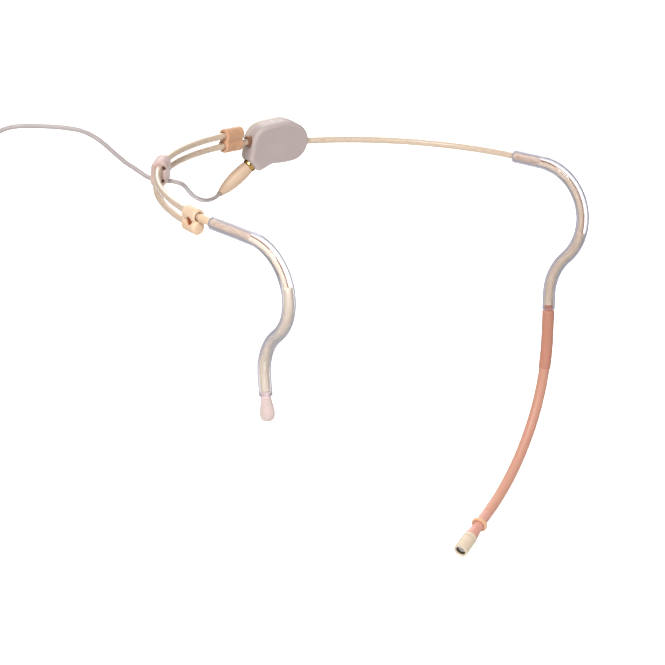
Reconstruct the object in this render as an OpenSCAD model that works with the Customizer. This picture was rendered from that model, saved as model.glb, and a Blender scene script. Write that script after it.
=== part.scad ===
// Headset microphone: a sliding two-rod neckband with soft ear hooks, a swivel boom and a plug-in lead.
// Millimetres. +Z is up as worn and the wearer faces -Y, so the boom is on the wearer's left, +X.
// The origin is the middle of the neckband's circle, which is the middle of the wearer's head.

/* [Neckband] */
// Radius of the rods' centre line
band_r = 68; // [60:1:80]
// The nape side sits higher than the ears by this angle
band_tilt = 5; // [0:1:10]
// Radius of both band rods
rod_r = 1; // [0.8:0.05:1.2]
// Height between the two rods' centre lines
rod_gap = 3.2; // [3.1:0.1:5]
// Angle from the nape to where the hook on the boom's side begins
arc_end = 83; // [78:1:88]
// Travel of the size adjustment, in degrees round the band
adjust_travel = 20; // [5:1:22]

/* [Ear hooks] */
// Straight run of a hook before it bends down
hook_run = 11.5; // [8:0.5:16]
// Radius of the bend over and in front of the ear
hook_r1 = 16.2; // [13:0.1:20]
// Angle of that bend
hook_a1 = 132; // [110:1:140]
// Radius of the bend back to straight down
hook_r2 = 16.2; // [12:0.1:22]
// Straight end of a hook
hook_tail = 4.7; // [4:0.1:8]
// Lean of a hook towards the head
hook_lean = 4; // [0:1:8]
// The free side's hook is bent by hand to its own shape: angle from the nape to where it begins
free_arc_end = 81.8; // [78:0.2:88]
// Straight run of the free hook
free_run = 15.8; // [8:0.2:18]
// Radius of the free hook's bend over and in front of the ear
free_r1 = 14.8; // [13:0.1:20]
// Angle of that bend
free_a1 = 139.5; // [110:0.5:145]
// Radius of the free hook's bend back to straight down
free_r2 = 16.1; // [12:0.1:22]
// Straight end of the free hook
free_tail = 5.6; // [4:0.1:8]
// Lean of the free hook towards the head
free_lean = 6; // [0:1:8]
// Outside radius of the clear sleeve
sleeve_ro = 2; // [1.7:0.05:2.4]

/* [Housing] */
// Angle of the housing round the band from the nape
house_at = 21; // [18:1:30]
// Thickness of the housing's walls
house_wall = 0.9; // [0.7:0.1:1.3]
// Angle of the lead's plug below the band
plug_drop = 40; // [30:1:50]

/* [Boom] */
// Outside radius of the boom tube
boom_ro = 1.65; // [1.4:0.05:2]
// Radius of the first bend of the boom
boom_r1 = 48; // [40:1:60]
// Angle of the first bend
boom_a1 = 32; // [20:1:40]
// Radius of the second bend
boom_r2 = 64; // [50:1:80]
// Angle of the second bend
boom_a2 = 30; // [15:1:40]
// Outside radius of the capsule
caps_ro = 2.2; // [1.9:0.05:2.6]

/* [Lead] */
// Radius of the lead
lead_r = 0.7; // [0.6:0.05:0.9]
// Middle radius of the coiled spare length
coil_r = 10; // [9:0.5:12]
// Radius of the coil's bundle
coil_bundle = 3.5; // [3:0.1:3.8]

/* [Hidden] */
$fn = 48;
// Clearance of one solid that runs on another
run_c = 0.05;
bore_r = rod_r + run_c;
sleeve_ri = rod_r + run_c;
// The rods' middle lies a little under the plane of the hooks
up_z = rod_gap / 2 - 0.2;
lo_z = -rod_gap / 2 - 0.2;
// Each hook as straight run, first radius and angle, second radius, straight end
mic_bend = [hook_run, hook_r1, hook_a1, hook_r2, hook_tail];
free_bend = [free_run, free_r1, free_a1, free_r2, free_tail];
// The single rod on the boom's side dips towards the housing by this angle
rod_dip = 1.35;
lobe_r = 2.15;
boom_ri = 1.02;
// Hairline between the lengths of one bent tube
seam = 0.02;
boom_run = 8.4;
// Housing depth, inner face to outer face, about the rods' circle
face_in = -3.4;
face_out = 3.2;
part_y = 1.1;
// A point on the plug's axis just outside the housing
plug_x = -8.9;
plug_z = -9.2;
// Middle of the coil that hangs behind the band
coil_pos = [-70.3, 111.4, -12];
coil_turn = 52;

// The lead from the plug's rear to the clip's inner face
lead_route = [
  [6.3, 71.7, -11.7], [4.9, 71.8, -12.3], [2.5, 71.3, -12.4], [-0.8, 70.1, -12], [-5, 68.2, -10.9],
  [-9.6, 65.9, -9.3], [-14.1, 63.4, -7.5], [-18.5, 60.8, -5.5], [-22.6, 58.4, -3.4], [-25.9, 56.5, -1.6],
  [-28.4, 55.3, -0.2], [-30, 55, 0.6], [-31.1, 55.6, 1.1], [-31.8, 56.8, 1.3]
];
// The lead through the clip, up and away from it, and down to the coil
run_route = [
  [-32, 57.1, 1.3], [-33.3, 59.4, 1.5], [-34.3, 61.3, 1.7], [-34.8, 63.3, 2.1], [-35.1, 65.2, 2.9],
  [-35.7, 67, 4], [-36.6, 68.5, 5.1], [-37.6, 69.8, 6.2], [-38.6, 71, 7.6], [-39.8, 72.3, 9.2],
  [-41.2, 73.9, 11.2], [-42.7, 75.7, 13.1], [-44.2, 77.8, 14.6], [-46, 80.2, 15.7], [-47.8, 82.7, 16.2],
  [-49.6, 85.4, 16.5], [-51.6, 88.6, 16.6], [-53.7, 92, 16.6], [-55.8, 95.2, 16.4], [-57.6, 98, 15.7],
  [-59.1, 100.4, 14.2], [-60.4, 102.4, 11.5], [-61.1, 103.5, 8.2], [-61.4, 103.9, 5],
  [-61.4, 103.9, 1.6], [-61.4, 103.9, -1.7], [-61.4, 103.9, -5.1]
];

// ---- frames ----

module band_frame() {
  rotate([band_tilt, 0, 0]) children();
}

// +X runs along the band towards the boom side, +Y points out of the head
module at_arc(a, h = 0) {
  rotate([0, 0, -a]) translate([0, band_r, h]) children();
}

module mic_hook() {
  band_frame() at_arc(arc_end, lo_z) rotate([-hook_lean, 0, 0]) children();
}

module free_hook() {
  band_frame() at_arc(-free_arc_end, up_z) rotate([0, 0, 180]) rotate([free_lean, 0, 0]) children();
}

module turned(r, a) {
  translate([0, 0, -r]) rotate([0, a, 0]) translate([0, 0, r]) children();
}

module up_turned(r, a) {
  translate([0, 0, r]) rotate([0, -a, 0]) translate([0, 0, -r]) children();
}

// The angle of a hook's second bend, which brings it back to straight down
function back_turn(b) = b[2] - 90 + band_tilt;

module hook_end(b) {
  translate([b[0], 0, 0]) turned(b[1], b[2]) up_turned(b[3], back_turn(b)) translate([b[4], 0, 0]) children();
}

module rod_dipped() {
  rotate([0, 0, -arc_end]) translate([0, 0, lo_z]) rotate([0, -rod_dip, 0]) translate([0, 0, -lo_z])
    rotate([0, 0, arc_end]) children();
}

module boom_frame() {
  mic_hook() hook_end(mic_bend) rotate([-90, 0, 0]) children();
}

module boom_end() {
  boom_frame() translate([boom_run, 0, 0]) turned(boom_r1, boom_a1) turned(boom_r2, boom_a2) children();
}

// +X points out of the housing along the plug
module plug_frame() {
  band_frame() at_arc(house_at) translate([plug_x, 0, plug_z]) rotate([0, 180 - plug_drop, 0])
    rotate([180, 0, 0]) children();
}

module coil_frame() {
  translate(coil_pos) rotate([0, 0, -coil_turn]) rotate([90, 0, 0]) children();
}

// ---- bars and tubes ----

module ring_2d(ro, ri) {
  difference() {
    circle(r = ro);
    if (ri > 0) circle(r = ri);
  }
}

module along(x0, x1) {
  translate([x0, 0, 0]) rotate([0, 90, 0]) linear_extrude(x1 - x0) children();
}

module bar(x0, x1, ro, ri = 0) {
  along(x0, x1) ring_2d(ro, ri);
}

module cone(x0, x1, ra, rb) {
  translate([x0, 0, 0]) rotate([0, 90, 0]) cylinder(r1 = ra, r2 = rb, h = x1 - x0);
}

module bend(r, a, ro, ri = 0) {
  translate([0, 0, -r]) rotate([90, -90, 180]) rotate_extrude(angle = a) translate([r, 0]) ring_2d(ro, ri);
}

module up_bend(r, a, ro, ri = 0) {
  rotate([180, 0, 0]) bend(r, a, ro, ri);
}

module arc_bar(a0, a1, h, ro, ri = 0) {
  translate([0, 0, h]) rotate([0, 0, 90 - a1]) rotate_extrude(angle = a1 - a0)
    translate([band_r, 0]) ring_2d(ro, ri);
}

// ---- neckband ----

module lower_band_rod() {
  color([0.80, 0.74, 0.66]) band_frame() arc_bar(-75, 18, lo_z, rod_r);
}

module upper_band_rod() {
  color([0.86, 0.79, 0.70]) {
    band_frame() arc_bar(-free_arc_end, 7.2, up_z, rod_r);
    free_hook() bar(-0.03, free_run - 1.5, rod_r - 0.005);
    free_hook() cone(free_run - 1.5, free_run, rod_r - 0.005, 0.4);
  }
}

module mic_side_rod() {
  color([0.86, 0.79, 0.70]) {
    band_frame() rod_dipped() arc_bar(22, arc_end, lo_z, rod_r);
    mic_hook() bar(-0.1, hook_run - 1.5, rod_r - 0.01);
    mic_hook() cone(hook_run - 1.5, hook_run, rod_r - 0.01, 0.4);
  }
}

module slider_lobes(a0, a1) {
  arc_bar(a0, a1, up_z, lobe_r);
  arc_bar(a0, a1, lo_z, lobe_r);
}

module mic_slider_block() {
  color([0.76, 0.59, 0.48]) band_frame() difference() {
    slider_lobes(3.2, 9.3);
    arc_bar(2, 7.4, up_z, rod_r + 0.03);
    arc_bar(2, 10, lo_z, bore_r);
    arc_bar(2, 3.8, up_z, 1.35);
    arc_bar(2, 3.8, lo_z, 1.35);
  }
}

module free_slider_block() {
  color([0.98, 0.87, 0.78]) band_frame() difference() {
    union() {
      slider_lobes(-75.8, -70.6);
      arc_bar(-76.3, -75, lo_z, 1.8);
    }
    arc_bar(-77, -69, up_z, bore_r);
    arc_bar(-75.2, -69, lo_z, rod_r + 0.12);
    arc_bar(-77, -75.2, up_z, 1.35);
    screw_place() {
      translate([0, 0, 1.15]) cylinder(r = 1.35, h = 3);
      translate([0, 0, -0.6]) cylinder(r = 0.5, h = 3);
    }
  }
}

// +Z points out of the block, between its two rods
module screw_place() {
  at_arc(-73.9, (up_z + lo_z) / 2) rotate([-90, 0, 0]) children();
}

module slider_screw() {
  color([0.45, 0.25, 0.14]) band_frame() screw_place() difference() {
    union() {
      translate([0, 0, 1.18]) cylinder(r = 1.28, h = 0.3);
      translate([0, 0, -0.5]) cylinder(r = 0.45, h = 1.8);
    }
    translate([-0.16, -0.9, 1.3]) cube([0.32, 1.8, 1]);
  }
}

// ---- hooks ----

// The sleeve starts a little before or after the place where the rod leaves the band's circle
module hook_sleeve(b, start) {
  bar(start, b[0], sleeve_ro, sleeve_ri);
  translate([b[0], 0, 0]) {
    bend(b[1], b[2], sleeve_ro, sleeve_ri);
    turned(b[1], b[2]) {
      up_bend(b[3], back_turn(b), sleeve_ro, sleeve_ri);
      up_turned(b[3], back_turn(b)) bar(0, b[4], sleeve_ro, sleeve_ri);
    }
  }
}

module hook_wire(b, a) {
  translate([b[0], 0, 0]) bend(b[1], a, 0.35);
}

// The core starts at the angle a of the first bend and ends 1.6 mm before the sleeve does
module hook_core(b, a) {
  translate([b[0], 0, 0]) {
    turned(b[1], a) bend(b[1], b[2] - a, 0.95);
    turned(b[1], b[2]) {
      up_bend(b[3], back_turn(b), 0.95);
      up_turned(b[3], back_turn(b)) bar(0, b[4] - 1.6, 0.95);
    }
  }
}

module mic_hook_sleeve() {
  color([0.90, 0.89, 0.90, 0.4]) mic_hook() hook_sleeve(mic_bend, 2.1);
}

module free_hook_sleeve() {
  color([0.90, 0.89, 0.90, 0.4]) free_hook() hook_sleeve(free_bend, -0.7);
}

module mic_hook_wire() {
  color([0.55, 0.42, 0.34]) mic_hook() hook_wire(mic_bend, 98);
}

module free_hook_wire() {
  color([0.55, 0.42, 0.34]) free_hook() hook_wire(free_bend, 73);
}

module mic_hook_core() {
  color([0.84, 0.76, 0.69]) mic_hook() hook_core(mic_bend, 98);
}

module free_hook_core() {
  color([0.89, 0.81, 0.75]) free_hook() hook_core(free_bend, 73);
}

module free_ferrule() {
  color([0.93, 0.85, 0.76]) band_frame() arc_bar(-80.9, -76.4, up_z, 1.2, rod_r);
}

module free_tip_cap() {
  color([0.92, 0.84, 0.82]) free_hook() hook_end(free_bend) {
    bar(-1.2, 0.3, rod_r);
    rotate([0, 90, 0]) rotate_extrude() polygon([
      [0, 0.2], [1.5, 0.2], [1.55, 1.2], [1.75, 2.6], [2.05, 3.9], [2.2, 5.1],
      [2.15, 6], [1.9, 6.9], [1.5, 7.4], [0, 7.5]
    ]);
  }
}

// ---- housing ----

module house_outline(inset) {
  hull() {
    translate([-4.2, -2.7]) circle(r = 6.2 - inset);
    translate([0.8, -2.3]) circle(r = 6.5 - inset);
    translate([3, -2.5]) circle(r = 6 - inset);
  }
  hull() {
    translate([-4.2, -2.7]) circle(r = 6.1 - inset);
    translate([-7.3, -9.4]) circle(r = 1.4 - inset);
    translate([-9.3, -7]) circle(r = 1.4 - inset);
  }
}

module house_slab(y0, y1, inset) {
  translate([0, y1, 0]) rotate([90, 0, 0]) linear_extrude(y1 - y0) house_outline(inset);
}

module house_holes() {
  band_frame() arc_bar(house_at - 12, house_at, lo_z, bore_r);
  band_frame() rod_dipped() arc_bar(house_at, house_at + 12, lo_z, bore_r);
  band_frame() at_arc(house_at - 8.9, lo_z) bar(-4, 0.9, 1.75);
  plug_frame() bar(-6, 6, 2.3);
}

module housing_inner_shell() {
  color([0.73, 0.675, 0.66]) difference() {
    band_frame() at_arc(house_at) difference() {
      union() {
        house_slab(face_in, face_in + 0.35, 0.85);
        house_slab(face_in + 0.35, face_in + 0.85, 0.3);
        house_slab(face_in + 0.85, part_y, 0);
      }
      house_slab(face_in + house_wall, part_y + 1, house_wall);
    }
    house_holes();
  }
}

module housing_outer_shell() {
  color([0.70, 0.63, 0.58]) difference() {
    band_frame() at_arc(house_at) difference() {
      union() {
        house_slab(part_y, face_out - 0.6, 0);
        house_slab(face_out - 0.6, face_out, 0.5);
      }
      house_slab(part_y - 1, face_out - house_wall, house_wall);
    }
    house_holes();
  }
}

module circuit_board() {
  color([0.16, 0.36, 0.24]) band_frame() at_arc(house_at) difference() {
    translate([-3.2, 1.35, -6.2]) cube([8.6, 0.7, 7.2]);
    translate([-2.3, 0, 0.1]) rotate([-90, 0, 0]) cylinder(r = 0.5, h = 3);
    translate([4.5, 0, -5.4]) rotate([-90, 0, 0]) cylinder(r = 0.5, h = 3);
  }
}

module rod_anchor() {
  color([0.72, 0.58, 0.36]) band_frame() difference() {
    union() {
      at_arc(house_at - 1, lo_z) translate([-4.8, -1.7, -1.7]) cube([9.6, 2.9, 3.4]);
      at_arc(house_at - 1, lo_z) translate([1.6, -1.7, -3.2]) cube([3.2, 2.9, 3]);
    }
    arc_bar(house_at - 8, house_at - 1, lo_z, rod_r);
    rod_dipped() arc_bar(house_at - 0.5, house_at + 8, lo_z, rod_r);
  }
}

module rod_collar() {
  color([0.50, 0.33, 0.24]) band_frame() difference() {
    at_arc(house_at - 8.9, lo_z) bar(-0.9, 0.8, 1.7);
    arc_bar(house_at - 12, house_at - 5, lo_z, bore_r);
  }
}

module plug_socket() {
  color([0.60, 0.55, 0.52]) plug_frame() difference() {
    bar(-5.6, -1, 2.2);
    bar(-5, 1, 1.45);
  }
}

module socket_contact() {
  color([0.83, 0.67, 0.38]) plug_frame() bar(-4.9, -2.4, 1.43, 1.3);
}

// ---- plug of the lead ----

module plug_body() {
  color([0.88, 0.76, 0.67]) plug_frame() difference() {
    union() {
      bar(1.3, 1.9, 2.1);
      cone(1.9, 5.6, 2.1, 2.3);
      cone(5.6, 9, 2.3, 2.05);
      cone(9, 12.6, 2.05, 1.2);
    }
    bar(0, 9, 1.2);
  }
}

module plug_collar() {
  color([0.83, 0.67, 0.38]) plug_frame() difference() {
    bar(-0.7, 1.2, 2.15);
    bar(-1, 2, 1.25);
    for (a = [0:60:300]) rotate([a, 0, 0]) translate([0.4, -0.35, 1.7]) cube([0.6, 0.7, 1]);
  }
}

module plug_nose() {
  color([0.22, 0.20, 0.20]) plug_frame() difference() {
    bar(-4.2, 8.5, 1.15);
    for (a = [0:120:240]) rotate([a, 0, 0]) translate([0, 0, 0.6]) bar(-5, -1, 0.26);
  }
}

module plug_pins() {
  color([0.83, 0.67, 0.38]) plug_frame() for (a = [0:120:240]) rotate([a, 0, 0])
    translate([0, 0, 0.6]) bar(-4.7, -1, 0.24);
}

module plug_relief() {
  color([0.74, 0.66, 0.58]) plug_frame() cone(12.6, 13.6, 1.05, 0.8);
}

// ---- clip ----

module clip_slab(x0, x1, inset) {
  along(x0, x1) hull() {
    translate([-1.3, 0]) circle(r = 2.4 - inset);
    translate([2.35, 0]) circle(r = 2.4 - inset);
  }
}

module cable_clip() {
  color([0.85, 0.73, 0.66, 0.9]) band_frame() difference() {
    at_arc(-31) {
      clip_slab(-3.3, 3.3, 0);
      clip_slab(-3.9, 3.9, 0.4);
    }
    arc_bar(-38, -24, up_z, bore_r);
    arc_bar(-38, -24, lo_z, bore_r);
    at_arc(-29.3) translate([0, -6, -3.65]) rotate([-90, 0, 0]) cylinder(r = 0.72, h = 12);
  }
}

// ---- boom ----

module boom_root_pin() {
  color([0.78, 0.55, 0.45]) boom_frame() bar(-1.4, 3, rod_r);
}

module boom_sleeve() {
  color([0.80, 0.56, 0.47]) boom_frame() {
    bar(0.4, boom_run, 1.87, boom_ro + 0.02);
    translate([boom_run, 0, 0]) bend(boom_r1, 12, 1.87, boom_ro + 0.02);
  }
}

module boom_tube() {
  color([0.86, 0.62, 0.51]) {
    boom_frame() {
      bar(0.3, boom_run - seam, boom_ro, boom_ri);
      translate([boom_run, 0, 0]) {
        bend(boom_r1, boom_a1 - seam, boom_ro, boom_ri);
        turned(boom_r1, boom_a1) bend(boom_r2, boom_a2 - seam, boom_ro, boom_ri);
      }
    }
    boom_end() bar(0, 2, boom_ro, boom_ri);
  }
}

module boom_core() {
  color([0.50, 0.48, 0.47]) boom_frame() {
    bar(3.2, boom_run - seam, 0.9);
    translate([boom_run, 0, 0]) {
      bend(boom_r1, boom_a1 - seam, 0.9);
      turned(boom_r1, boom_a1) bend(boom_r2, boom_a2, 0.9);
    }
  }
}

module boom_collar() {
  color([0.88, 0.65, 0.56]) boom_end() difference() {
    union() {
      bar(2, 9.6, boom_ro);
      cone(9.6, 12.6, boom_ro, 2.05);
    }
    bar(1, 11, 0.6);
  }
}

module drip_ring() {
  color([0.96, 0.80, 0.66]) boom_end() translate([6.9, 0, 0]) rotate([0, 90, 0]) rotate_extrude() {
    translate([2.1, 0]) square([0.76, 0.8], center = true);
    translate([2.1, 0.24]) circle(r = 0.38);
    translate([2.1, -0.24]) circle(r = 0.38);
  }
}

module capsule_base() {
  color([0.90, 0.80, 0.70]) boom_end() {
    cone(12.6, 13.1, 2.05, caps_ro);
    bar(13.1, 14.1, caps_ro);
    bar(14.1, 15.5, 1.8);
  }
}

module capsule_element() {
  color([0.78, 0.78, 0.78]) boom_end() bar(15.6, 18.3, 1.72);
}

module capsule_gasket() {
  color([0.30, 0.28, 0.20]) boom_end() bar(18.3, 18.7, 1.7, 1.25);
}

module capsule_mesh() {
  color([0.62, 0.62, 0.60]) boom_end() bar(18.35, 18.5, 1.2);
}

module capsule_cap() {
  color([0.94, 0.85, 0.74]) boom_end() difference() {
    bar(14.2, 19.4, caps_ro);
    bar(14, 18.9, 1.85);
    bar(18, 20, 1.5);
  }
}

// ---- lead, coil and connector ----

// A tube along points, its rings turned square to the direction across, which no stretch follows
module swept(pts, r, across, sides = 8) {
  n = len(pts);
  dir = [for (i = [0:n - 1]) pts[min(i + 1, n - 1)] - pts[max(i - 1, 0)]];
  tan = [for (d = dir) d / norm(d)];
  side = [for (t = tan) cross(t, across) / norm(cross(t, across))];
  ring = [for (i = [0:n - 1]) for (k = [0:sides - 1])
    pts[i] + r * (cos(360 * k / sides) * side[i] + sin(360 * k / sides) * cross(tan[i], side[i]))];
  walls = [for (i = [0:n - 2]) for (k = [0:sides - 1]) let (a = i * sides, j = (k + 1) % sides)
    each [[a + k, a + j, a + sides + j], [a + k, a + sides + j, a + sides + k]]];
  first = [for (k = [0:sides - 1]) sides - 1 - k];
  last = [for (k = [0:sides - 1]) (n - 1) * sides + k];
  polyhedron(points = ring, faces = concat(walls, [first, last]), convexity = 4);
}

module cable_lead() {
  color([0.62, 0.57, 0.56]) swept(lead_route, lead_r, [0, 0, 1]);
}

module cable_run() {
  color([0.62, 0.57, 0.56]) swept(run_route, lead_r, [0.8, 0.6, 0]);
}

module cable_coil() {
  color([0.60, 0.55, 0.54]) coil_frame() rotate_extrude() translate([coil_r, 0]) circle(r = coil_bundle);
}

module cable_tie() {
  color([0.30, 0.28, 0.28]) coil_frame() rotate([0, 0, 60]) translate([0, coil_r, 0])
    bar(-1.5, 1.5, coil_bundle + 0.6, coil_bundle + 0.15);
}

module connector_frame() {
  coil_frame() translate([coil_r + 1.4, -7.4, 2.4]) rotate([0, 0, -90]) children();
}

module connector_relief() {
  color([0.16, 0.16, 0.17]) connector_frame() cone(0, 8, 1.1, 1.9);
}

module connector_shell() {
  color([0.20, 0.20, 0.21]) connector_frame() difference() {
    union() {
      bar(8, 17, 3.1);
      bar(17, 23.4, 2.3);
    }
    bar(18, 24, 1.4);
  }
}

module jack_sleeve() {
  color([0.80, 0.68, 0.42]) connector_frame() {
    bar(18, 25.2, 1.38);
    bar(25.2, 32.4, 1.75);
  }
}

module jack_insulators() {
  color([0.08, 0.08, 0.08]) connector_frame() {
    bar(32.4, 33, 1.5);
    bar(34.8, 35.4, 1.5);
  }
}

module jack_tip() {
  color([0.80, 0.68, 0.42]) connector_frame() {
    bar(33, 34.8, 1.75);
    bar(35.4, 36, 1.75);
    cone(36, 36.8, 1.75, 1.2);
    cone(36.8, 38.4, 1.2, 0.5);
  }
}

module connector_nut() {
  color([0.24, 0.24, 0.25]) connector_frame() difference() {
    bar(17.3, 25, 3.6);
    bar(17, 23, 2.36);
    bar(22.5, 26, 2.9);
    for (a = [0:30:330]) rotate([a, 0, 0]) translate([18.3, 0, 3.7]) bar(0, 5.6, 0.35);
  }
}

lower_band_rod();
free_slider_block();
slider_screw();
housing_inner_shell();
housing_outer_shell();
circuit_board();
rod_anchor();
rod_collar();
plug_socket();
socket_contact();
mic_side_rod();
mic_hook_sleeve();
mic_hook_wire();
mic_hook_core();
cable_clip();
cable_run();
cable_coil();
cable_tie();
connector_relief();
connector_shell();
jack_sleeve();
jack_insulators();
jack_tip();
connector_nut();
upper_band_rod();
mic_slider_block();
free_ferrule();
free_hook_sleeve();
free_hook_wire();
free_hook_core();
free_tip_cap();
boom_root_pin();
boom_sleeve();
boom_tube();
boom_core();
boom_collar();
capsule_base();
capsule_element();
capsule_gasket();
drip_ring();
capsule_cap();
capsule_mesh();
plug_body();
plug_collar();
plug_nose();
plug_pins();
plug_relief();
cable_lead();
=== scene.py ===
"""Looks of a head-worn microphone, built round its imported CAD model.

Lengths are in millimetres, as in the part's source, and become metres where a mesh is made.
Every place is a matrix whose local X runs along the piece, like the frames of the CAD source.
"""

import math

import bpy
from mathutils import Matrix, Vector
from mathutils.geometry import convex_hull_2d


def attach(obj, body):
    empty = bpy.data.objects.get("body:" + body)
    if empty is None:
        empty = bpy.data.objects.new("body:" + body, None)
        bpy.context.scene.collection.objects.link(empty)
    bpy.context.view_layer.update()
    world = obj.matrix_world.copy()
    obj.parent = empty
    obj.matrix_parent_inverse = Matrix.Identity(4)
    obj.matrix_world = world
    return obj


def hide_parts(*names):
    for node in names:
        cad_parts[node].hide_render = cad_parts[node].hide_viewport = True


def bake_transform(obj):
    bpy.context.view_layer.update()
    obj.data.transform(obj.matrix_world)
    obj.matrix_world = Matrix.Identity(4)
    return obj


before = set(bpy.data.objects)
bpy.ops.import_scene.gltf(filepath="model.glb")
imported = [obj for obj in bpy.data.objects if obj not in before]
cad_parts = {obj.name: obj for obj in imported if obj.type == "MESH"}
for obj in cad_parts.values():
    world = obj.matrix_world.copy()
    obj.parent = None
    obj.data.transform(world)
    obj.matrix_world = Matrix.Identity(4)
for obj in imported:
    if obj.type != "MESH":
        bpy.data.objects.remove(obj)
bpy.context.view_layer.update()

MM = 0.001

# Driving sizes of the CAD model
BAND_R, BAND_TILT, ROD_R, UP_Z, LO_Z = 68, 5, 1, 1.4, -1.8
MID_Z = (UP_Z + LO_Z) / 2
ARC_END, FREE_ARC_END, ROD_DIP = 83, 81.8, 1.35
# Each hook as straight run, first radius and angle, second radius, straight end
MIC_BEND, FREE_BEND = (11.5, 16.2, 132, 16.2, 4.7), (15.8, 14.8, 139.5, 16.1, 5.6)
MIC_LEAN, FREE_LEAN, SLEEVE_R = 4, 6, 2
HOUSE_AT, FACE_IN, FACE_OUT, PART_Y = 21, -3.4, 3.2, 1.1
PLUG_X, PLUG_Z, PLUG_DROP = -8.9, -9.2, 40
BOOM_R, BOOM_RUN, BOOM_R1, BOOM_A1, BOOM_R2, BOOM_A2 = 1.65, 8.4, 48, 32, 64, 30
BOOM_SLEEVE_R, BOOM_SLEEVE_TURN = 1.87, 12
CAPS_R = 2.2
LEAD_R = 0.7
COIL_AT, COIL_TURN, COIL_R = (-70.3, 111.4, -12), 52, 10

LEAD_ROUTE = [
    (6.3, 71.7, -11.7), (4.9, 71.8, -12.3), (2.5, 71.3, -12.4), (-0.8, 70.1, -12),
    (-5, 68.2, -10.9), (-9.6, 65.9, -9.3), (-14.1, 63.4, -7.5), (-18.5, 60.8, -5.5),
    (-22.6, 58.4, -3.4), (-25.9, 56.5, -1.6), (-28.4, 55.3, -0.2), (-30, 55, 0.6),
    (-31.1, 55.6, 1.1), (-31.8, 56.8, 1.3), (-32, 57.1, 1.3),
]
RUN_ROUTE = [
    (-32, 57.1, 1.3), (-33.3, 59.4, 1.5), (-34.3, 61.3, 1.7), (-34.8, 63.3, 2.1),
    (-35.1, 65.2, 2.9), (-35.7, 67, 4), (-36.6, 68.5, 5.1), (-37.6, 69.8, 6.2),
    (-38.6, 71, 7.6), (-39.8, 72.3, 9.2), (-41.2, 73.9, 11.2), (-42.7, 75.7, 13.1),
    (-44.2, 77.8, 14.6), (-46, 80.2, 15.7), (-47.8, 82.7, 16.2), (-49.6, 85.4, 16.5),
    (-51.6, 88.6, 16.6), (-53.7, 92, 16.6), (-55.8, 95.2, 16.4), (-57.6, 98, 15.7),
    (-59.1, 100.4, 14.2), (-60.4, 102.4, 11.5), (-61.1, 103.5, 8.2), (-61.4, 103.9, 5),
    (-61.4, 103.9, 1.6), (-61.4, 103.9, -1.7), (-61.4, 103.9, -5.1),
]


# ---- places ----

def move(x=0.0, y=0.0, z=0.0):
    return Matrix.Translation((x, y, z))


def turn(x=0.0, y=0.0, z=0.0):
    """The turn that OpenSCAD's rotate([x, y, z]) makes, in degrees."""
    return (
        Matrix.Rotation(math.radians(z), 4, "Z")
        @ Matrix.Rotation(math.radians(y), 4, "Y")
        @ Matrix.Rotation(math.radians(x), 4, "X")
    )


def bent(r, a):
    """Round a bend of that radius towards local -Z, or towards +Z where the radius is negative."""
    return move(z=-r) @ turn(y=math.copysign(a, r)) @ move(z=r)


def at_arc(a, h=0.0):
    return turn(x=BAND_TILT) @ turn(z=-a) @ move(y=BAND_R, z=h)


class Hook:
    """An ear hook's centre line: a straight run, a bend over the ear, one back, and a straight end."""

    def __init__(self, start, bend):
        self.start = start
        self.run, self.r1, self.a1, self.r2, self.tail = bend
        self.a2 = self.a1 - 90 + BAND_TILT
        self.bend_1, self.bend_2 = self.r1 * math.radians(self.a1), self.r2 * math.radians(self.a2)
        self.length = self.run + self.bend_1 + self.bend_2 + self.tail

    def at(self, s):
        """The place at distance s along it."""
        if s <= self.run:
            return self.start @ move(x=s)
        at, s = self.start @ move(x=self.run), s - self.run
        if s <= self.bend_1:
            return at @ bent(self.r1, math.degrees(s / self.r1))
        at, s = at @ bent(self.r1, self.a1), s - self.bend_1
        if s <= self.bend_2:
            return at @ bent(-self.r2, math.degrees(s / self.r2))
        return at @ bent(-self.r2, self.a2) @ move(x=s - self.bend_2)


MIC_HOOK = Hook(at_arc(ARC_END, LO_Z) @ turn(x=-MIC_LEAN), MIC_BEND)
FREE_HOOK = Hook(at_arc(-FREE_ARC_END, UP_Z) @ turn(z=180) @ turn(x=FREE_LEAN), FREE_BEND)
BOOM = MIC_HOOK.at(MIC_HOOK.length) @ turn(x=-90)
FREE_END = FREE_HOOK.at(FREE_HOOK.length)


def boom_place(s):
    if s <= BOOM_RUN:
        return BOOM @ move(x=s)
    at, s = BOOM @ move(x=BOOM_RUN), s - BOOM_RUN
    bend_1, bend_2 = BOOM_R1 * math.radians(BOOM_A1), BOOM_R2 * math.radians(BOOM_A2)
    if s <= bend_1:
        return at @ bent(BOOM_R1, math.degrees(s / BOOM_R1))
    at, s = at @ bent(BOOM_R1, BOOM_A1), s - bend_1
    if s <= bend_2:
        return at @ bent(BOOM_R2, math.degrees(s / BOOM_R2))
    return at @ bent(BOOM_R2, BOOM_A2) @ move(x=s - bend_2)


BOOM_LENGTH = BOOM_RUN + BOOM_R1 * math.radians(BOOM_A1) + BOOM_R2 * math.radians(BOOM_A2)
BOOM_END = boom_place(BOOM_LENGTH)
HOUSE = at_arc(HOUSE_AT)
PLUG = HOUSE @ move(x=PLUG_X, z=PLUG_Z) @ turn(y=180 - PLUG_DROP) @ turn(x=180)
COIL = move(*COIL_AT) @ turn(z=-COIL_TURN) @ turn(x=90)
CONNECTOR = COIL @ move(x=COIL_R + 1.4, y=-7.4, z=2.4) @ turn(z=-90)


def spread(a, b, step):
    """Even values from a to b, no further apart than step."""
    n = max(2, math.ceil(abs(b - a) / step) + 1)
    return [a + (b - a) * i / (n - 1) for i in range(n)]


# ---- camera, floor and light ----

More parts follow.
